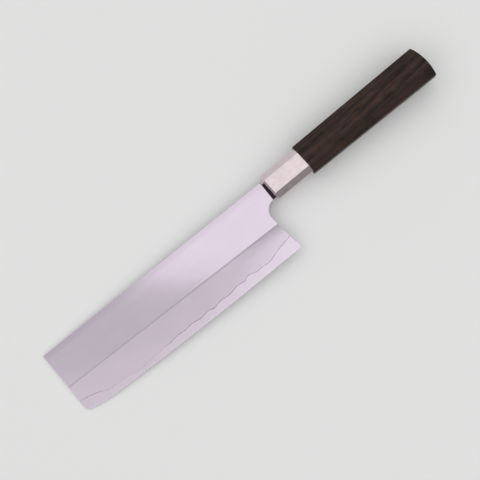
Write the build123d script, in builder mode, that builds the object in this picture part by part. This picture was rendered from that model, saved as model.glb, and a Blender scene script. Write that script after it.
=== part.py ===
from build123d import *
from math import asin, atan, cos, degrees, radians, sin, sqrt, tan
import os

# Nakiri knife lying on its right side.
# X runs from the tip to the butt along the spine, Y from the edge to the spine,
# Z out of the left side of the blade. The origin is on the axis of the handle,
# in the plane of the ferrule's front face, half way through the blade.

# Blade outline, in millimetres, depths measured down from the spine
edge_length = 165.0
heel_setback = 6.3
spine_rise = 6.3
heel_depth = 46.3
edge_bow = 0.9
edge_rise = 0.57
belly_length = 24.0
belly_lift = 3.35
tip_lean = 1.15
tip_corner_radius = 4.0
heel_lean = 3.75
heel_hollow = 0.48
choil_radius = 7.5
neck_depth = 13.25
shoulder_gap = 1.65
shoulder_bow = 0.4

# Blade thickness and grind
spine_thickness_at_heel = 3.2
spine_thickness_at_tip = 1.9
flat_taper = 0.3
bevel_line_depth_at_heel = 26.45
bevel_line_depth_at_tip = 24.0
bevel_foot_thickness = 0.3
bevel_belly_at_heel = 0.12
bevel_belly_at_tip = 0.06
edge_land = 0.08
edge_angle = 15.0
spine_easing = 0.25

# Lamination: height of the bared core above the lowest point of the edge.
# Each pair is a share of the edge length from the heel, and of that height.
bared_height = 5.0
left_line_shares = (
    (0.000, 2.01), (0.040, 1.80), (0.065, 1.61), (0.090, 1.41), (0.115, 1.15), (0.130, 1.05),
    (0.160, 1.15), (0.185, 1.09), (0.205, 1.30), (0.228, 1.33), (0.242, 1.12), (0.265, 1.23),
    (0.310, 1.03), (0.362, 1.08), (0.380, 0.97), (0.393, 0.85), (0.410, 1.04), (0.435, 1.01),
    (0.465, 0.95), (0.487, 1.09), (0.530, 0.99), (0.570, 1.07), (0.606, 0.91), (0.630, 1.01),
    (0.656, 0.83), (0.674, 0.91), (0.694, 0.80), (0.710, 0.74), (0.730, 0.68), (0.757, 0.71),
    (0.800, 0.95), (0.858, 1.07), (0.888, 1.22), (0.912, 1.58), (0.932, 1.81), (0.962, 2.05),
    (1.000, 2.25),
)
right_line_shares = (
    (0.000, 1.77), (0.032, 1.67), (0.060, 1.35), (0.082, 1.29), (0.108, 1.39), (0.135, 1.17),
    (0.158, 0.99), (0.180, 1.05), (0.212, 0.93), (0.240, 1.11), (0.262, 1.15), (0.284, 0.97),
    (0.318, 1.01), (0.342, 1.21), (0.360, 1.23), (0.384, 1.03), (0.420, 0.97), (0.446, 1.09),
    (0.474, 0.91), (0.502, 0.99), (0.536, 1.15), (0.560, 1.11), (0.582, 0.89), (0.616, 0.95),
    (0.648, 1.05), (0.672, 0.89), (0.700, 0.99), (0.734, 1.17), (0.760, 1.13), (0.790, 0.93),
    (0.826, 1.01), (0.860, 1.25), (0.884, 1.31), (0.914, 1.53), (0.944, 1.93), (0.972, 2.03),
    (1.000, 2.11),
)

# Tang, hidden in the handle
tang_thickness = 2.4
tang_top_step = 1.7
tang_bottom_step = 0.2
tang_knee_rise = 1.6
tang_knee_length = 5.0
tang_length = 84.0
tang_end_height = 5.0
resin_gap = 0.35

# Ferrule
handle_lift = 0.72
ferrule_length = 27.35
ferrule_height = 17.8
ferrule_thickness = 16.2
ferrule_corner = 3.75
nose_length = 1.15
nose_inset = 2.0
nose_wall = 3.0
ferrule_easing = 0.2
ferrule_skew = 3.0

# Wooden handle
wood_length = 96.7
wood_overhang = 1.4
wood_corner = 4.85
butt_height = 22.4
butt_crown = 1.9
wood_easing = 0.5
butt_skew = 5.0

# Dowel that joins the handle and the ferrule and takes the tang
dowel_diameter = 14.0
dowel_length = 87.0
glue_gap = 0.1

# How far cuts run past what they cut
overrun = 1.0

# Places that follow from the sizes above
heel_x = -heel_setback
tip_x = heel_x - edge_length
spine_y = spine_rise
edge_y = spine_y - heel_depth + edge_rise / 2 - edge_bow
neck_y = spine_y - neck_depth
neck_end_x = -shoulder_gap
belly_x = tip_x + belly_length
tang_end_x = tang_length
handle_length = ferrule_length + wood_length
blade_plane = Plane.XY
handle_plane = Plane.XY.rotated((0, 0, handle_lift))
handle_axis = Axis((0, 0, 0), tuple(handle_plane.x_dir))
across_handle = Plane((0, 0, 0), x_dir=handle_plane.y_dir, z_dir=handle_plane.x_dir)


def skewed_cut(along, skew):
    """Plane of a cut across the handle, nearer to the tip on the side of the spine."""
    return Plane(
        across_handle.offset(along).origin,
        z_dir=across_handle.z_dir.rotate(Axis.Z, skew),
    )


nose_cut = skewed_cut(0, ferrule_skew)
joint_cut = skewed_cut(ferrule_length, ferrule_skew)
butt_cut = skewed_cut(handle_length, butt_skew)


def between_heel_and_tip(at_heel, at_tip, x):
    """A size that changes evenly along the blade, at the place x."""
    return at_heel + (at_tip - at_heel) * (heel_x - x) / edge_length


# Slopes of one flat: thinner towards the tip, and a little towards the edge
distal_slope = (spine_thickness_at_heel - spine_thickness_at_tip) / 2 / edge_length
flat_slope = flat_taper / 2 / bevel_line_depth_at_heel


def flat_half_thickness(x, y):
    """Distance of the ground flat from the middle of the blade."""
    at_spine = between_heel_and_tip(spine_thickness_at_heel, spine_thickness_at_tip, x) / 2
    return at_spine - (spine_y - y) * flat_slope


def bevel_points(x):
    """Top and foot of the bevel at the place x, as height and half thickness."""
    top_y = spine_y - between_heel_and_tip(bevel_line_depth_at_heel, bevel_line_depth_at_tip, x)
    return Vector(top_y, flat_half_thickness(x, top_y)), Vector(edge_y, bevel_foot_thickness / 2)


def bevel_belly(x):
    """How far the slightly convex bevel stands proud half way down, at the place x."""
    return between_heel_and_tip(bevel_belly_at_heel, bevel_belly_at_tip, x)


# Outline of the blade and neck. The edge is one long shallow arc from the heel,
# then a tighter arc that lifts towards the square tip. The heel is ground hollow.
heel_corner = (heel_x, spine_y - heel_depth)
choil_corner = (heel_x - heel_lean, neck_y)
tip_corner = (tip_x + tip_lean, spine_y - heel_depth + belly_lift)


def draw_edge():
    """The cutting edge from the heel to the tip, as its long arc and its lift."""
    belly_start = (belly_x, spine_y - heel_depth + edge_rise)
    arc = ThreePointArc(heel_corner, ((heel_x + belly_x) / 2, edge_y), belly_start)
    lift = TangentArc(arc @ 1, tip_corner, tangent=arc % 1)
    return arc, lift


with BuildSketch(blade_plane) as blade_outline:
    with BuildLine():
        draw_edge()
        Polyline(tip_corner, (tip_x, spine_y), (neck_end_x, spine_y))
        ThreePointArc(
            (neck_end_x, spine_y),
            (neck_end_x - shoulder_bow, (spine_y + neck_y) / 2),
            (neck_end_x, neck_y),
        )
        Line((neck_end_x, neck_y), choil_corner)
        heel_middle = (Vector(*choil_corner) + Vector(*heel_corner)) / 2
        ThreePointArc(choil_corner, heel_middle - Vector(heel_hollow, 0), heel_corner)
    make_face()
    fillet(blade_outline.vertices().sort_by_distance(tip_corner)[0], tip_corner_radius)
    fillet(blade_outline.vertices().sort_by_distance(choil_corner)[0], choil_radius)

# Outline of the tang, along the axis of the handle. It goes straight through the
# nose of the ferrule, steps up behind it and tapers to its end.
tang_top_y = spine_y - tang_top_step
tang_bottom_y = neck_y + tang_bottom_step
tang_knee_x = nose_wall + tang_knee_length
with BuildSketch(handle_plane) as tang_outline:
    with BuildLine():
        Polyline(
            (neck_end_x - shoulder_gap, tang_top_y),
            (nose_wall, tang_top_y),
            (tang_end_x, tang_end_height / 2),
            (tang_end_x, -tang_end_height / 2),
            (tang_knee_x, tang_bottom_y + tang_knee_rise),
            (nose_wall, tang_bottom_y),
            (neck_end_x - shoulder_gap, tang_bottom_y),
            close=True,
        )
    make_face()

# What the two broad bevels take away. Each is a ruled surface between a flat arc
# past the heel and one past the tip, run out straight past the top and the foot.
with BuildPart() as bevel_waste:
    for station in (0, tip_x - overrun):
        top, foot = bevel_points(station)
        proud = (foot - top).rotate(Axis.Z, 90).normalized() * bevel_belly(station)
        with BuildSketch(Plane.YZ.offset(station)):
            with BuildLine():
                bevel = ThreePointArc(top, (top + foot) / 2 - proud, foot)
                above = Line(bevel @ 0, (bevel @ 0) - (bevel % 0) * overrun)
                below = Line(bevel @ 1, (bevel @ 1) + (bevel % 1) * overrun)
                Polyline(
                    below @ 1,
                    ((below @ 1).X, spine_thickness_at_heel),
                    ((above @ 1).X, spine_thickness_at_heel),
                    above @ 1,
                )
            make_face()
    loft(ruled=True)
    mirror(about=blade_plane)

# What sharpening takes away: a steeper facet along the whole edge on each side
with BuildPart() as sharpening_waste:
    with BuildLine(blade_plane):
        edge_arc, edge_lift = draw_edge()
        past_heel = (edge_arc @ 0) - (edge_arc % 0) * overrun
        Line(edge_arc @ 0, past_heel)
        Line(edge_lift @ 1, (edge_lift @ 1) + (edge_lift % 1) * overrun)
    facet_half_width = overrun * tan(radians(edge_angle))
    with BuildSketch(Plane(past_heel, x_dir=(0, 0, 1), z_dir=edge_arc % 0)):
        with BuildLine():
            Polyline(
                (edge_land / 2 - facet_half_width, -overrun),
                (edge_land / 2 + facet_half_width, overrun),
                (edge_land / 2 + overrun, overrun),
                (edge_land / 2 + overrun, -overrun),
                close=True,
            )
        make_face()
    sweep()
    mirror(about=blade_plane)

# The whole ground blade with its tang, before it is divided into its layers
left_flat = Plane(
    (heel_x, spine_y, spine_thickness_at_heel / 2), z_dir=(-distal_slope, -flat_slope, 1)
)
right_flat = Plane(
    (heel_x, spine_y, -spine_thickness_at_heel / 2), z_dir=(-distal_slope, -flat_slope, -1)
)
with BuildPart() as ground_blade:
    add(blade_outline.sketch)
    extrude(amount=spine_thickness_at_heel, both=True)
    split(bisect_by=left_flat, keep=Keep.BOTTOM)
    split(bisect_by=right_flat, keep=Keep.BOTTOM)
    add(bevel_waste.part, mode=Mode.SUBTRACT)
    add(sharpening_waste.part, mode=Mode.SUBTRACT)
    spine_edges = ground_blade.edges().group_by(Axis.Y)[-1].sort_by(SortBy.LENGTH)[-2:]
    fillet(spine_edges, spine_easing)
    add(tang_outline.sketch)
    extrude(amount=tang_thickness / 2, both=True)


def core_face_points(line_shares, side):
    """Points of one wavy face of the core, seen from the spine.

    The grinding wheel meets that face where the bevel is as thin as the core, so
    the half thickness of the core is that of the bevel at the lamination line.
    """
    points = []
    for along_share, height_share in line_shares:
        x = heel_x - along_share * edge_length
        top, foot = bevel_points(x)
        up_share = bared_height * height_share / (top - foot).X
        half = foot.Y + (top - foot).Y * up_share + 4 * bevel_belly(x) * up_share * (1 - up_share)
        points.append((x, side * half))
    return points


def cladding_space(line_shares, side):
    """The space on one side of the core, from past the tip to past the tang."""
    wave = core_face_points(line_shares, side)
    outside = side * spine_thickness_at_heel
    past_tip = tip_x - overrun
    past_tang = tang_end_x + overrun
    with BuildPart() as space:
        with BuildSketch(Plane.XZ):
            with BuildLine():
                Spline(*wave)
                Polyline(
                    wave[-1],
                    (past_tip, wave[-1][1]),
                    (past_tip, outside),
                    (past_tang, outside),
                    (past_tang, wave[0][1]),
                    wave[0],
                )
            make_face()
        extrude(amount=heel_depth + edge_bow, both=True)
    return space.part


left_space = cladding_space(left_line_shares, 1)
right_space = cladding_space(right_line_shares, -1)

os.makedirs("parts", exist_ok=True)

# Hard middle layer: carries the cutting edge and runs back into the tang
with BuildPart() as core_steel:
    add(ground_blade.part)
    add(left_space, mode=Mode.SUBTRACT)
    add(right_space, mode=Mode.SUBTRACT)
core_steel.part.label = "core_steel"
export_step(core_steel.part, "parts/core_steel.step")

# Soft outer layer on the left, feathered out along the lamination line
with BuildPart() as cladding_left:
    add(ground_blade.part)
    add(left_space, mode=Mode.INTERSECT)
cladding_left.part.label = "cladding_left"
export_step(cladding_left.part, "parts/cladding_left.step")

# Soft outer layer on the right, with a line of its own
with BuildPart() as cladding_right:
    add(ground_blade.part)
    add(right_space, mode=Mode.INTERSECT)
cladding_right.part.label = "cladding_right"
export_step(cladding_right.part, "parts/cladding_right.step")

# The pocket that the tang stands in, from the front of the ferrule to past its end
with BuildPart() as tang_pocket:
    with BuildSketch(handle_plane):
        add(tang_outline.sketch_local)
        offset(amount=resin_gap, kind=Kind.INTERSECTION)
    extrude(amount=tang_thickness / 2 + resin_gap, both=True)
    split(bisect_by=nose_cut, keep=Keep.TOP)


def eight_faces(start, height, thickness, corner, flare):
    """Planes of the eight long faces of a section of the handle that begins at a plane.

    Corner is how much each slanting face takes off the height and the thickness,
    and every face leans outwards by the flare, in degrees, on its way back.
    """
    slanting_reach = (height / 2 + thickness / 2 - corner) / sqrt(2)
    reaches = (height / 2, slanting_reach, thickness / 2, slanting_reach)
    faces = []
    for turn in range(8):
        outwards = start.x_dir.rotate(Axis((0, 0, 0), tuple(start.z_dir)), turn * 45)
        middle = start.origin + outwards * reaches[turn % 4]
        normal = outwards * cos(radians(flare)) - start.z_dir * sin(radians(flare))
        faces.append(Plane(middle, z_dir=normal))
    return faces


# Steel ferrule: chamfered nose with a slot for the tang, bored from behind. Both of
# its ends are cut a little askew, as the wood's are.
ferrule_run = ferrule_height * tan(radians(ferrule_skew))
with BuildPart() as ferrule:
    with BuildSketch(across_handle.offset(-ferrule_run)):
        Rectangle(ferrule_height, ferrule_thickness)
    extrude(amount=ferrule_length + 2 * ferrule_run)
    for face in eight_faces(across_handle, ferrule_height, ferrule_thickness, ferrule_corner, 0):
        split(bisect_by=face, keep=Keep.BOTTOM)
    split(bisect_by=nose_cut, keep=Keep.TOP)
    split(bisect_by=joint_cut, keep=Keep.BOTTOM)
    nose = ferrule.faces().sort_by(handle_axis)[0]
    chamfer(nose.edges(), length=nose_inset, length2=nose_length, reference=nose)
    fillet(ferrule.edges().filter_by(handle_axis), ferrule_easing)
    with BuildSketch(across_handle.offset(nose_wall)):
        Circle(dowel_diameter / 2 + glue_gap)
    extrude(amount=ferrule_length, mode=Mode.SUBTRACT)
    add(tang_pocket.part, mode=Mode.SUBTRACT)
ferrule.part.label = "ferrule"
export_step(ferrule.part, "parts/ferrule.step")

# Wooden handle: eight planed faces that widen to a crowned butt, bored for the dowel
wood_front = across_handle.offset(ferrule_length)
wood_front_height = ferrule_height + 2 * wood_overhang
wood_front_thickness = ferrule_thickness + 2 * wood_overhang
wood_flare = degrees(atan((butt_height - wood_front_height) / 2 / wood_length))
dowel_start = nose_wall + glue_gap
crown_radius = (butt_height / 2) ** 2 / (2 * butt_crown) + butt_crown / 2
crown_reach = degrees(asin((butt_height / 2 + wood_corner) / crown_radius))
wood_run = butt_height * tan(radians(ferrule_skew + butt_skew))
with BuildPart() as handle:
    with BuildSketch(wood_front.offset(-wood_run)):
        Rectangle(2 * butt_height, 2 * butt_height)
    extrude(amount=wood_length + 2 * wood_run)
    for face in eight_faces(wood_front, wood_front_height, wood_front_thickness, wood_corner, wood_flare):
        split(bisect_by=face, keep=Keep.BOTTOM)
    split(bisect_by=joint_cut, keep=Keep.TOP)
    split(bisect_by=butt_cut, keep=Keep.BOTTOM)
    with BuildSketch(Plane(butt_cut.origin, x_dir=butt_cut.z_dir, z_dir=handle_plane.z_dir)):
        with BuildLine():
            crown = CenterArc((-crown_radius, 0), crown_radius, 0, crown_reach)
            Polyline(crown @ 1, (overrun, (crown @ 1).Y), (overrun, 0), crown @ 0)
        make_face()
    revolve(axis=Axis(butt_cut.origin, butt_cut.z_dir), mode=Mode.SUBTRACT)
    arrises = handle.edges().sort_by(SortBy.LENGTH)[-8:]
    front_rim = handle.faces().sort_by(handle_axis)[0].edges()
    fillet(arrises + handle.faces().filter_by(GeomType.SPHERE).edges() + front_rim, wood_easing)
    with BuildSketch(across_handle.offset(dowel_start)):
        Circle(dowel_diameter / 2 + glue_gap)
    extrude(amount=dowel_length + glue_gap, mode=Mode.SUBTRACT)
handle.part.label = "handle"
export_step(handle.part, "parts/handle.step")

# Softwood dowel glued into ferrule and handle, slotted for the tang
with BuildPart() as tang_dowel:
    with BuildSketch(across_handle.offset(dowel_start)):
        Circle(dowel_diameter / 2)
    extrude(amount=dowel_length)
    add(tang_pocket.part, mode=Mode.SUBTRACT)
tang_dowel.part.label = "tang_dowel"
export_step(tang_dowel.part, "parts/tang_dowel.step")

# Resin that was poured round the tang and set, flush with the nose of the ferrule
with BuildPart() as tang_resin:
    add(tang_pocket.part)
    add(tang_outline.sketch)
    extrude(amount=tang_thickness / 2, both=True, mode=Mode.SUBTRACT)
tang_resin.part.label = "tang_resin"
export_step(tang_resin.part, "parts/tang_resin.step")
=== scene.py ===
import bpy
import numpy as np
from mathutils import Matrix, Vector


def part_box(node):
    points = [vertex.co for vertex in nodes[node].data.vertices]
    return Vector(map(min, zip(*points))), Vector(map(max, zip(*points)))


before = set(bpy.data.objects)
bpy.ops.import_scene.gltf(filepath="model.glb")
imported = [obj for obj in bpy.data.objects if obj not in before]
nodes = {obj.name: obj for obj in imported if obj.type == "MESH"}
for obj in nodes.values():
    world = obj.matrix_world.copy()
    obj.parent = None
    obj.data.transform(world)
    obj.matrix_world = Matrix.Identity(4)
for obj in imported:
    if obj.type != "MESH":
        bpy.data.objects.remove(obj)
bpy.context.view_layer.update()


# Core steel. The hard middle layer of the blade: it shows below the wavy line,
# carries the cutting edge and runs back into the handle as the tang. It is ground
# bare and sharpened on stones; the tang keeps the dark scale of the forging.

core_colour = (0.77, 0.67, 0.78)
core_dull_share = 0.95
core_roughness = 0.26
core_lines = 5000.0  # lines, clouds and streaks are all given as so many per metre
core_clouds = 110.0
core_line_depth = 0.000001
line_stretch = 40
line_detail = 2.0
line_tint_share = 0.4
cloud_stretch = 2
cloud_detail = 3.0
noise_grit = 0.55
noise_middle = (0.35, 0.65)  # most of a noise lies between these
scale_colour = (0.042, 0.034, 0.039)
scale_roughness = 0.55
scale_start_x = -0.0021
scale_fade = 0.0002


def put(tree, kind, inputs=None, **settings):
    """Adds a shader node; an input is a value or another node's output."""
    made = tree.nodes.new(kind)
    for name, value in settings.items():
        setattr(made, name, value)
    for name, value in (inputs or {}).items():
        socket = made.inputs[name]
        if isinstance(value, bpy.types.NodeSocket):
            tree.links.new(value, socket)
        else:
            socket.default_value = value
    return made


def reckon(tree, operation, first, second=0.0, third=0.0):
    """The output of one arithmetic node."""
    inputs = {0: first, 1: second, 2: third}
    return put(tree, "ShaderNodeMath", inputs, operation=operation).outputs[0]


def times(tree, first, second):
    """The product of two values or outputs."""
    return reckon(tree, "MULTIPLY", first, second)


def spread(tree, value, low, high, at_low=0.0, at_high=1.0, ease="SMOOTHSTEP"):
    """Maps low..high to at_low..at_high, smoothly or LINEAR, and holds the ends."""
    inputs = {
        "Value": value, "From Min": low, "From Max": high, "To Min": at_low, "To Max": at_high}
    return put(tree, "ShaderNodeMapRange", inputs, interpolation_type=ease).outputs[0]


def blend_of(tree, share, first, second):
    """A colour between two, by a share."""
    mix = put(tree, "ShaderNodeMix", data_type="RGBA")
    share_socket, first_socket, second_socket = mix.inputs[0], mix.inputs[6], mix.inputs[7]
    tree.links.new(share, share_socket)
    for socket, colour in ((first_socket, first), (second_socket, second)):
        if isinstance(colour, bpy.types.NodeSocket):
            tree.links.new(colour, socket)
        else:
            socket.default_value = (*colour, 1.0)
    return mix.outputs[2]


def dimmed(colour, share):
    """A colour taken down to a share of itself."""
    return tuple(part * share for part in colour)


def axes_of(tree, place):
    """The X, Y and Z of a place, as three outputs."""
    return put(tree, "ShaderNodeSeparateXYZ", {"Vector": place}).outputs


def streaks(tree, place, scale, detail=cloud_detail):
    """Noise from 0 to 1, with so many streaks per metre along each axis."""
    mapped = put(tree, "ShaderNodeMapping", {"Vector": place, "Scale": scale})
    inputs = {"Vector": mapped.outputs[0], "Scale": 1.0, "Detail": detail, "Roughness": noise_grit}
    return put(tree, "ShaderNodeTexNoise", inputs).outputs["Fac"]


def finish_of(name, node_name, roughness, metallic):
    """A new principled material on a node, with the place on the object."""
    material = bpy.data.materials.new(name)
    material.use_nodes = True
    tree = material.node_tree
    shader = tree.nodes["Principled BSDF"]
    shader.inputs["Metallic"].default_value = metallic
    shader.inputs["Roughness"].default_value = roughness
    mesh = nodes[node_name].data
    mesh.materials.clear()
    mesh.materials.append(material)
    place = put(tree, "ShaderNodeTexCoord").outputs["Object"]
    return tree, shader, place


def relief(tree, shader, height, depth):
    """Bumps the surface by a height of 0 to 1 times a depth in metres."""
    bump = put(tree, "ShaderNodeBump", {"Strength": 1.0, "Distance": depth, "Height": height})
    tree.links.new(bump.outputs[0], shader.inputs["Normal"])


def satin(tree, shader, place, colour, dull_share, lines, clouds, depth):
    """Fine lines of the last abrasive, along X, over a faint cloud; both tint the steel."""
    fine = streaks(tree, place, (lines / line_stretch, lines, lines), line_detail)
    cloud = streaks(tree, place, (clouds / cloud_stretch, clouds, clouds))
    cloud_part = times(tree, cloud, 1 - line_tint_share)
    both = reckon(tree, "MULTIPLY_ADD", fine, line_tint_share, cloud_part)
    relief(tree, shader, fine, depth)
    return blend_of(tree, spread(tree, both, *noise_middle), dimmed(colour, dull_share), colour)


def forge_scale(tree, shader, place, steel, roughness):
    """Leaves the steel behind the shoulder dark and dull, and links both to the shader."""
    along = axes_of(tree, place)["X"]
    covered = spread(tree, along, scale_start_x, scale_start_x + scale_fade)
    coloured = blend_of(tree, covered, steel, scale_colour)
    tree.links.new(coloured, shader.inputs["Base Color"])
    rough = spread(tree, covered, 0.0, 1.0, roughness, scale_roughness, "LINEAR")
    tree.links.new(rough, shader.inputs["Roughness"])


tree, shader, place = finish_of("core_stone_ground", "core_steel", core_roughness, metallic=1.0)
steel = satin(
    tree, shader, place, core_colour, core_dull_share, core_lines, core_clouds, core_line_depth)
forge_scale(tree, shader, place, steel, core_roughness)


# Claddings. Soft steel forged on both sides of the core, polished flat above and stone
# ground on a bevel below. A darker strip under the bevel line, widening at the heel, and a
# darker band along the spine are partly a duller grind and partly painted shade.
# It feathers out at the wavy weld, a thin dark line, broken and faint in places.

cladding_colour = (0.765, 0.665, 0.78)
cladding_dull_share = 0.96
cladding_lines = 4000.0
cladding_clouds = 90.0
cladding_line_depth = 0.0000005
flat_roughness = 0.10
bevel_roughness = 0.175
bevel_lean = 0.018  # a bevel's faces lean further towards the edge than this
outward_lean = 0.5  # and a layer's broad faces further up or down than this
place_digits = 6
# The ridge, heel and spine shares below darken the steel partly as a duller grind and partly as
# painted shade.
ridge_dull_painted_shade_share = 0.58
ridge_width = 0.0011
ridge_sharpness = 0.2 * ridge_width
ridge_fade = (0.6 * ridge_width, 1.6 * ridge_width)
ridge_strength = 0.49
heel_haze_painted_shade_share = 0.63
heel_haze_painted_shade_width = 0.0082
heel_haze_painted_shade_length = 0.045
spine_dull_painted_shade_share = 0.88
spine_width = 0.006
weld_colour = (0.12, 0.10, 0.12)
weld_width = 0.0007
weld_core_width = 0.5 * weld_width
weld_ragged = 0.0005
weld_ragged_streaks = (900.0, 200.0, 200.0)
weld_ragged_range = (0.3, 0.7)
weld_break_streaks = (500.0, 60.0, 60.0)
weld_break_range = (0.35, 0.6)
weld_break_strength = 0.45
weld_strengths_from_heel = (  # share of the way from the heel to the tip, strength
    (0.0, 0.75), (0.03, 0.95), (0.57, 0.95), (0.66, 0.25), (0.86, 0.2), (0.92, 0.75), (1.0, 0.5))


def places_of(node_name):
    """The corners of a node's mesh, one row each."""
    mesh = nodes[node_name].data
    places = np.zeros(len(mesh.vertices) * 3, np.float32)
    mesh.vertices.foreach_get("co", places)
    return places.reshape(-1, 3)


def faces_of(node_name):
    """Each face's three corners, and the way that it faces."""
    mesh = nodes[node_name].data
    corners = np.zeros(len(mesh.loops), np.int32)
    mesh.loops.foreach_get("vertex_index", corners)
    leans = np.zeros(len(mesh.polygons) * 3, np.float32)
    mesh.polygons.foreach_get("normal", leans)
    rounded = np.round(places_of(node_name).astype(float), place_digits)
    return rounded[corners].reshape(-1, 3, 3), leans.reshape(-1, 3)


def shared_corners(faces, one_set, other_set):
    """The corners that two sets of faces share, ordered along X."""
    one = np.unique(faces[one_set].reshape(-1, 3), axis=0)
    other = np.unique(faces[other_set].reshape(-1, 3), axis=0)
    corners, times_found = np.unique(np.concatenate((one, other)), axis=0, return_counts=True)
    return corners[times_found == 2]


def curve_of(tree, share, points):
    """A curve node through points whose x and y run from 0 to 1."""
    curve = put(tree, "ShaderNodeFloatCurve", {"Value": share})
    knots = curve.mapping.curves[0].points
    for x, y in points[1:-1]:
        knots.new(x, y)
    knots[0].location = points[0]
    knots[len(knots) - 1].location = points[-1]
    for knot in knots:
        knot.handle_type = "VECTOR"
    curve.mapping.update()
    return curve.outputs[0]


def band_of(tree, value, starts, full, fades, ends):
    """1 between full and fades, and smoothly down to 0 at starts and at ends."""
    rising = spread(tree, value, starts, full)
    falling = spread(tree, value, fades, ends, 1.0, 0.0)
    return times(tree, rising, falling)


def weld_of(tree, place, weld):
    """How dark the weld line is at a place: 1 at its darkest, 0 off the line."""
    parts = axes_of(tree, place)
    tip, heel = weld[0, 0], weld[-1, 0]
    low, high = weld[:, 1].min(), weld[:, 1].max()
    share = spread(tree, parts["X"], tip, heel, ease="LINEAR")
    knots = [((x - tip) / (heel - tip), (y - low) / (high - low)) for x, y, _ in weld]
    weld_y = reckon(tree, "MULTIPLY_ADD", curve_of(tree, share, knots), high - low, low)
    above = reckon(tree, "SUBTRACT", parts["Y"], weld_y)
    strengths = [(1 - from_heel, s) for from_heel, s in reversed(weld_strengths_from_heel)]
    strength = curve_of(tree, share, strengths)
    broken = spread(
        tree, streaks(tree, place, weld_break_streaks), *weld_break_range, weld_break_strength, 1.0)
    ragged = spread(
        tree, streaks(tree, place, weld_ragged_streaks), *weld_ragged_range, weld_ragged, 0.0)
    inside = spread(
        tree, reckon(tree, "ADD", above, ragged), weld_core_width, weld_width, 1.0, 0.0)
    return times(tree, inside, times(tree, strength, broken))


for layer, outward in (("cladding_left", 1), ("cladding_right", -1)):
    tree, shader, place = finish_of(layer + "_satin", layer, flat_roughness, metallic=1.0)
    steel = satin(
        tree, shader, place, cladding_colour, cladding_dull_share,
        cladding_lines, cladding_clouds, cladding_line_depth)
    parts = axes_of(tree, place)
    faces, leans = faces_of(layer)
    weld = shared_corners(faces, leans[:, 2] > outward_lean, leans[:, 2] < -outward_lean)
    heel = weld[-1, 0]
    outer = leans[:, 2] * outward > outward_lean
    bevel = leans[:, 1] < -bevel_lean
    ridge = shared_corners(faces, outer & bevel, outer & ~bevel)
    climb = (ridge[-1, 1] - ridge[0, 1]) / (ridge[-1, 0] - ridge[0, 0])
    ridge_y = reckon(tree, "MULTIPLY_ADD", parts["X"], climb, ridge[0, 1] - climb * ridge[0, 0])
    below = reckon(tree, "SUBTRACT", ridge_y, parts["Y"])

    # Painted shade: the bevel darkens under its line towards the heel, partly a duller grind and
    # partly a painted dark reflection.
    to_heel = spread(tree, parts["X"], heel - heel_haze_painted_shade_length, heel)
    haze_and_painted_shade = band_of(tree, below, 0.0, ridge_sharpness, 0.0, heel_haze_painted_shade_width)
    heel_haze_painted_shade_colour = dimmed(cladding_colour, heel_haze_painted_shade_share)
    hazed_with_painted_shade = blend_of(tree, times(tree, to_heel, haze_and_painted_shade), steel, heel_haze_painted_shade_colour)

    # Painted shade: a thin dark strip just under the bevel line, partly a duller grind and partly
    # painted shade of the ridge.
    ridge_painted_shade_mask = band_of(tree, below, 0.0, ridge_sharpness, *ridge_fade)
    ridge_painted_shade_strength = spread(tree, to_heel, 0.0, 1.0, ridge_strength, 1.0)
    ridge_painted_shade_colour = dimmed(cladding_colour, ridge_dull_painted_shade_share)
    lined_with_painted_shade = blend_of(tree, times(tree, ridge_painted_shade_mask, ridge_painted_shade_strength), hazed_with_painted_shade, ridge_painted_shade_colour)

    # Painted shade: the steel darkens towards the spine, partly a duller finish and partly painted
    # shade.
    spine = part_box(layer)[1][1]
    near_spine_painted_shade = spread(tree, parts["Y"], spine - spine_width, spine)
    edged_with_painted_shade = blend_of(tree, near_spine_painted_shade, lined_with_painted_shade, dimmed(cladding_colour, spine_dull_painted_shade_share))

    welded = blend_of(tree, weld_of(tree, place, weld), edged_with_painted_shade, weld_colour)
    on_bevel = reckon(tree, "GREATER_THAN", below, 0.0)
    rough = spread(tree, on_bevel, 0.0, 1.0, flat_roughness, bevel_roughness, "LINEAR")
    forge_scale(tree, shader, place, welded, rough)


# Dowel. A turned softwood pin glued into the bored handle and ferrule; it takes the
# tang. It is pale and plain, with its grain along the handle.

dowel_pale = (0.62, 0.46, 0.28)
dowel_dark = (0.50, 0.34, 0.19)
dowel_roughness = 0.7
dowel_grain = (18.0, 900.0, 900.0)
dowel_grain_depth = 0.00002
tree, shader, place = finish_of("dowel_softwood", "tang_dowel", dowel_roughness, metallic=0.0)
grain = spread(tree, streaks(tree, place, dowel_grain), *noise_middle)
tree.links.new(blend_of(tree, grain, dowel_pale, dowel_dark), shader.inputs["Base Color"])
relief(tree, shader, grain, dowel_grain_depth)


# Ferrule. An eight-sided collar of thin stainless steel with a chamfered nose,
# pushed over the front of the dowel and sanded to a fine satin.

ferrule_colour = (0.80, 0.69, 0.715)
ferrule_dull_share = 0.88
ferrule_roughness = 0.20
ferrule_lines = 3000.0
ferrule_clouds = 400.0
ferrule_line_depth = 0.000001
tree, shader, place = finish_of("ferrule_satin", "ferrule", ferrule_roughness, metallic=1.0)
steel = satin(
    tree, shader, place, ferrule_colour, ferrule_dull_share,
    ferrule_lines, ferrule_clouds, ferrule_line_depth)
tree.links.new(steel, shader.inputs["Base Color"])


# Handle. Open-grained dark hardwood, planed to eight faces and lightly oiled. The
# log's heart lies below and to one side, so the growth rings run along the faces as
# thin dark lines that wander a little; short pores and reddish streaks lie between.

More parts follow.
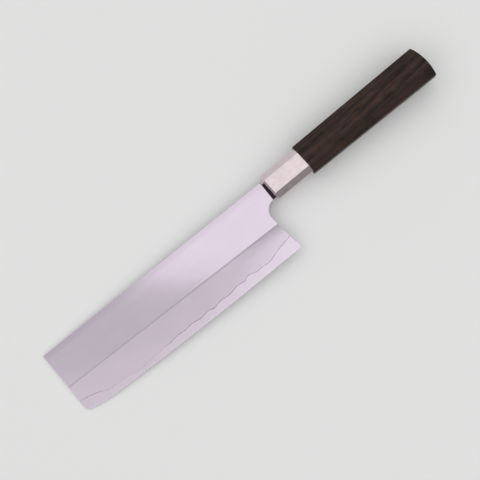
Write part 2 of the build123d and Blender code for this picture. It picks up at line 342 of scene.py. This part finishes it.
wood_colour = (0.033, 0.016, 0.013)
wood_dark = (0.007, 0.004, 0.004)
wood_warm = (0.062, 0.029, 0.021)
wood_roughness = 0.42
wood_gloss = 0.2
warm_streaks = (26.0, 260.0, 260.0)
warm_range = (0.36, 0.66)
heart_side = -0.014  # where the log's heart passes, from the handle's middle line
heart_depth = 0.0247
heart_slant = -0.070
ring_width = 0.0027
ring_sway = 0.0020
ring_sway_bends = (18.0, 70.0, 70.0)
ring_sway_detail = 2.0
late_wood_band = (0.25, 0.75, 0.82, 1.0)  # shares of a ring: it darkens, is dark, fades, ends
late_wood_streaks = (110.0, 60.0, 60.0)
late_wood_strengths = (0.35, 0.8)
late_wood_height = 0.3
pore_streaks = (160.0, 3000.0, 3000.0)
pore_detail = 1.0
pore_range = (0.54, 0.66)
pore_strength = 0.6
pore_roughness = 0.75
pore_depth = 0.00004
tree, shader, place = finish_of("handle_dark_wood", "handle", wood_roughness, metallic=0.0)
shader.inputs["Specular IOR Level"].default_value = wood_gloss
parts = axes_of(tree, place)
bends = put(tree, "ShaderNodeMapping", {"Vector": place, "Scale": ring_sway_bends}).outputs[0]
sway_inputs = {"Vector": bends, "Scale": 1.0, "Detail": ring_sway_detail}
sway = put(tree, "ShaderNodeTexNoise", sway_inputs).outputs["Fac"]
from_heart = reckon(tree, "ADD", parts["Y"], heart_side)
side = reckon(tree, "MULTIPLY_ADD", parts["X"], heart_slant, from_heart)
rise = reckon(tree, "ADD", parts["Z"], heart_depth)
squares = reckon(tree, "MULTIPLY_ADD", side, side, times(tree, rise, rise))
radius = reckon(tree, "MULTIPLY_ADD", sway, ring_sway, reckon(tree, "SQRT", squares))
ring = reckon(tree, "FRACT", reckon(tree, "DIVIDE", radius, ring_width))
late_wood = band_of(tree, ring, *late_wood_band)
late_noise = streaks(tree, place, late_wood_streaks)
late_strength = spread(tree, late_noise, *noise_middle, *late_wood_strengths)
warmth = spread(tree, streaks(tree, place, warm_streaks), *warm_range)
pores = spread(tree, streaks(tree, place, pore_streaks, pore_detail), *pore_range)
warmed = blend_of(tree, warmth, wood_colour, wood_warm)
ringed = blend_of(tree, times(tree, late_wood, late_strength), warmed, wood_dark)
pored = blend_of(tree, times(tree, pores, pore_strength), ringed, wood_dark)
tree.links.new(pored, shader.inputs["Base Color"])
rough = spread(tree, pores, 0.0, 1.0, wood_roughness, pore_roughness)
tree.links.new(rough, shader.inputs["Roughness"])
raised = times(tree, late_wood, late_wood_height)
relief(tree, shader, reckon(tree, "MULTIPLY_ADD", pores, -1.0, raised), pore_depth)


# Resin. Black resin poured round the tang, set flush with the nose of the ferrule.
# It is cast in place and left as it sets, with a faint unevenness.

resin_black = (0.010, 0.009, 0.009)
resin_grey = (0.022, 0.020, 0.021)
resin_roughness = 0.35
resin_clouds = (600.0, 600.0, 600.0)
resin_cloud_range = (0.4, 0.6)
resin_depth = 0.00002
tree, shader, place = finish_of("set_resin", "tang_resin", resin_roughness, metallic=0.0)
cloud = streaks(tree, place, resin_clouds)
greyed = blend_of(tree, spread(tree, cloud, *resin_cloud_range), resin_black, resin_grey)
tree.links.new(greyed, shader.inputs["Base Color"])
relief(tree, shader, cloud, resin_depth)


# Floor. A plain pale board that the knife rests on with the end of its blade and
# the front rim of the wood, so it tilts a little against the blade.

floor_colour = (0.92, 0.92, 0.915)
floor_roughness = 0.9
floor_gloss = 0.1
floor_reach = 3.0
tip_end_length = 0.002
blade_places = places_of("cladding_right")
wood_places = places_of("handle")
tip_x = blade_places[:, 0].min()
tip_z = blade_places[blade_places[:, 0] < tip_x + tip_end_length][:, 2].min()
slope = ((wood_places[:, 2] - tip_z) / (wood_places[:, 0] - tip_x)).min()

# The floor's height at X is the tip's, plus the slope times the way from the tip to X.
corner_x = floor_reach * np.array((-1, 1, 1, -1))
corner_y = floor_reach * np.array((-1, -1, 1, 1))
corners = np.column_stack((corner_x, corner_y, tip_z + slope * (corner_x - tip_x)))
floor_mesh = bpy.data.meshes.new("floor")
floor_mesh.from_pydata(corners.tolist(), [], [(0, 1, 2, 3)])
floor = bpy.data.objects.new("floor", floor_mesh)
bpy.context.scene.collection.objects.link(floor)
paper = bpy.data.materials.new("floor_paper")
paper.use_nodes = True
paper_shader = paper.node_tree.nodes["Principled BSDF"]
paper_shader.inputs["Base Color"].default_value = (*floor_colour, 1.0)
paper_shader.inputs["Roughness"].default_value = floor_roughness
paper_shader.inputs["Specular IOR Level"].default_value = floor_gloss
floor_mesh.materials.append(paper)


# Camera. It looks down on the middle of the knife from 0.8 m away, leans about five
# degrees to the side of the cutting edge, and is turned so that the handle points up
# to the right.

view_distance = 0.8
view_target = Vector((-0.03315, -0.01338, 0.0))
view_lean_x = np.radians(-0.32)
view_lean_y = np.radians(-4.62)
view_turn = np.radians(38.75)
view_focal_pixels = 1310.0
picture_pixels = 480.0
film_width_mm = 36.0
back = Vector((np.sin(view_lean_x), np.sin(view_lean_y), 0.0))
back.z = np.sqrt(1 - back.x ** 2 - back.y ** 2)
flat_right = Vector((np.cos(view_turn), -np.sin(view_turn), 0.0))
right = (flat_right - back * flat_right.dot(back)).normalized()
up = back.cross(right)
camera_data = bpy.data.cameras.new("camera")
camera_data.sensor_width = film_width_mm
camera_data.lens = film_width_mm * view_focal_pixels / picture_pixels
camera = bpy.data.objects.new("camera", camera_data)
camera.matrix_world = Matrix((right, up, back)).transposed().to_4x4()
camera.location = view_target + back * view_distance
bpy.context.scene.collection.objects.link(camera)
bpy.context.scene.camera = camera


# Light. A pale room, dimmer at the ceiling and near the floor, with three soft panels
# hung flat overhead. They leave a strip open for the camera, which the blade mirrors as
# its darker half.

panels = (  # place to the right and to the top of the picture, width, depth, brightness
    ("back_panel", 0.0, 0.3, 2.0, 0.6, 0.37),
    ("front_panel", -0.4, -0.4, 1.0, 0.5, 0.135),
    ("right_panel", 0.315, -0.295, 0.46, 0.5, 0.72),
)
panel_height = 1.3
sky_overhead = 0.645
sky_around = 0.95
sky_at_floor = 0.25
floor_to_around = (0.32, 0.60)  # the upward part of a direction: 0 level, 1 straight up
around_to_overhead = (0.80, 0.93)
flat_up = Vector((np.sin(view_turn), np.cos(view_turn), 0.0))
panel_middle = view_target + Vector((0.0, 0.0, panel_height))
for name, across, forward, width, depth, brightness in panels:
    panel_data = bpy.data.lights.new(name, "AREA")
    panel_data.shape = "RECTANGLE"
    panel_data.size = width
    panel_data.size_y = depth
    panel_data.energy = brightness * np.pi * width * depth
    panel = bpy.data.objects.new(name, panel_data)
    panel.location = panel_middle + flat_right * across + flat_up * forward
    panel.rotation_euler = (0.0, 0.0, -view_turn)
    bpy.context.scene.collection.objects.link(panel)

world = bpy.data.worlds.new("surround")
bpy.context.scene.world = world
world.use_nodes = True
sky = world.node_tree
direction = put(sky, "ShaderNodeTexCoord").outputs["Generated"]
elevation = axes_of(sky, direction)["Z"]
wall = spread(sky, elevation, *floor_to_around, sky_at_floor, sky_around)
ceiling = spread(sky, elevation, *around_to_overhead, 0.0, sky_overhead - sky_around)
sky.links.new(reckon(sky, "ADD", wall, ceiling), sky.nodes["Background"].inputs["Color"])

bpy.context.scene.view_settings.view_transform = "Standard"
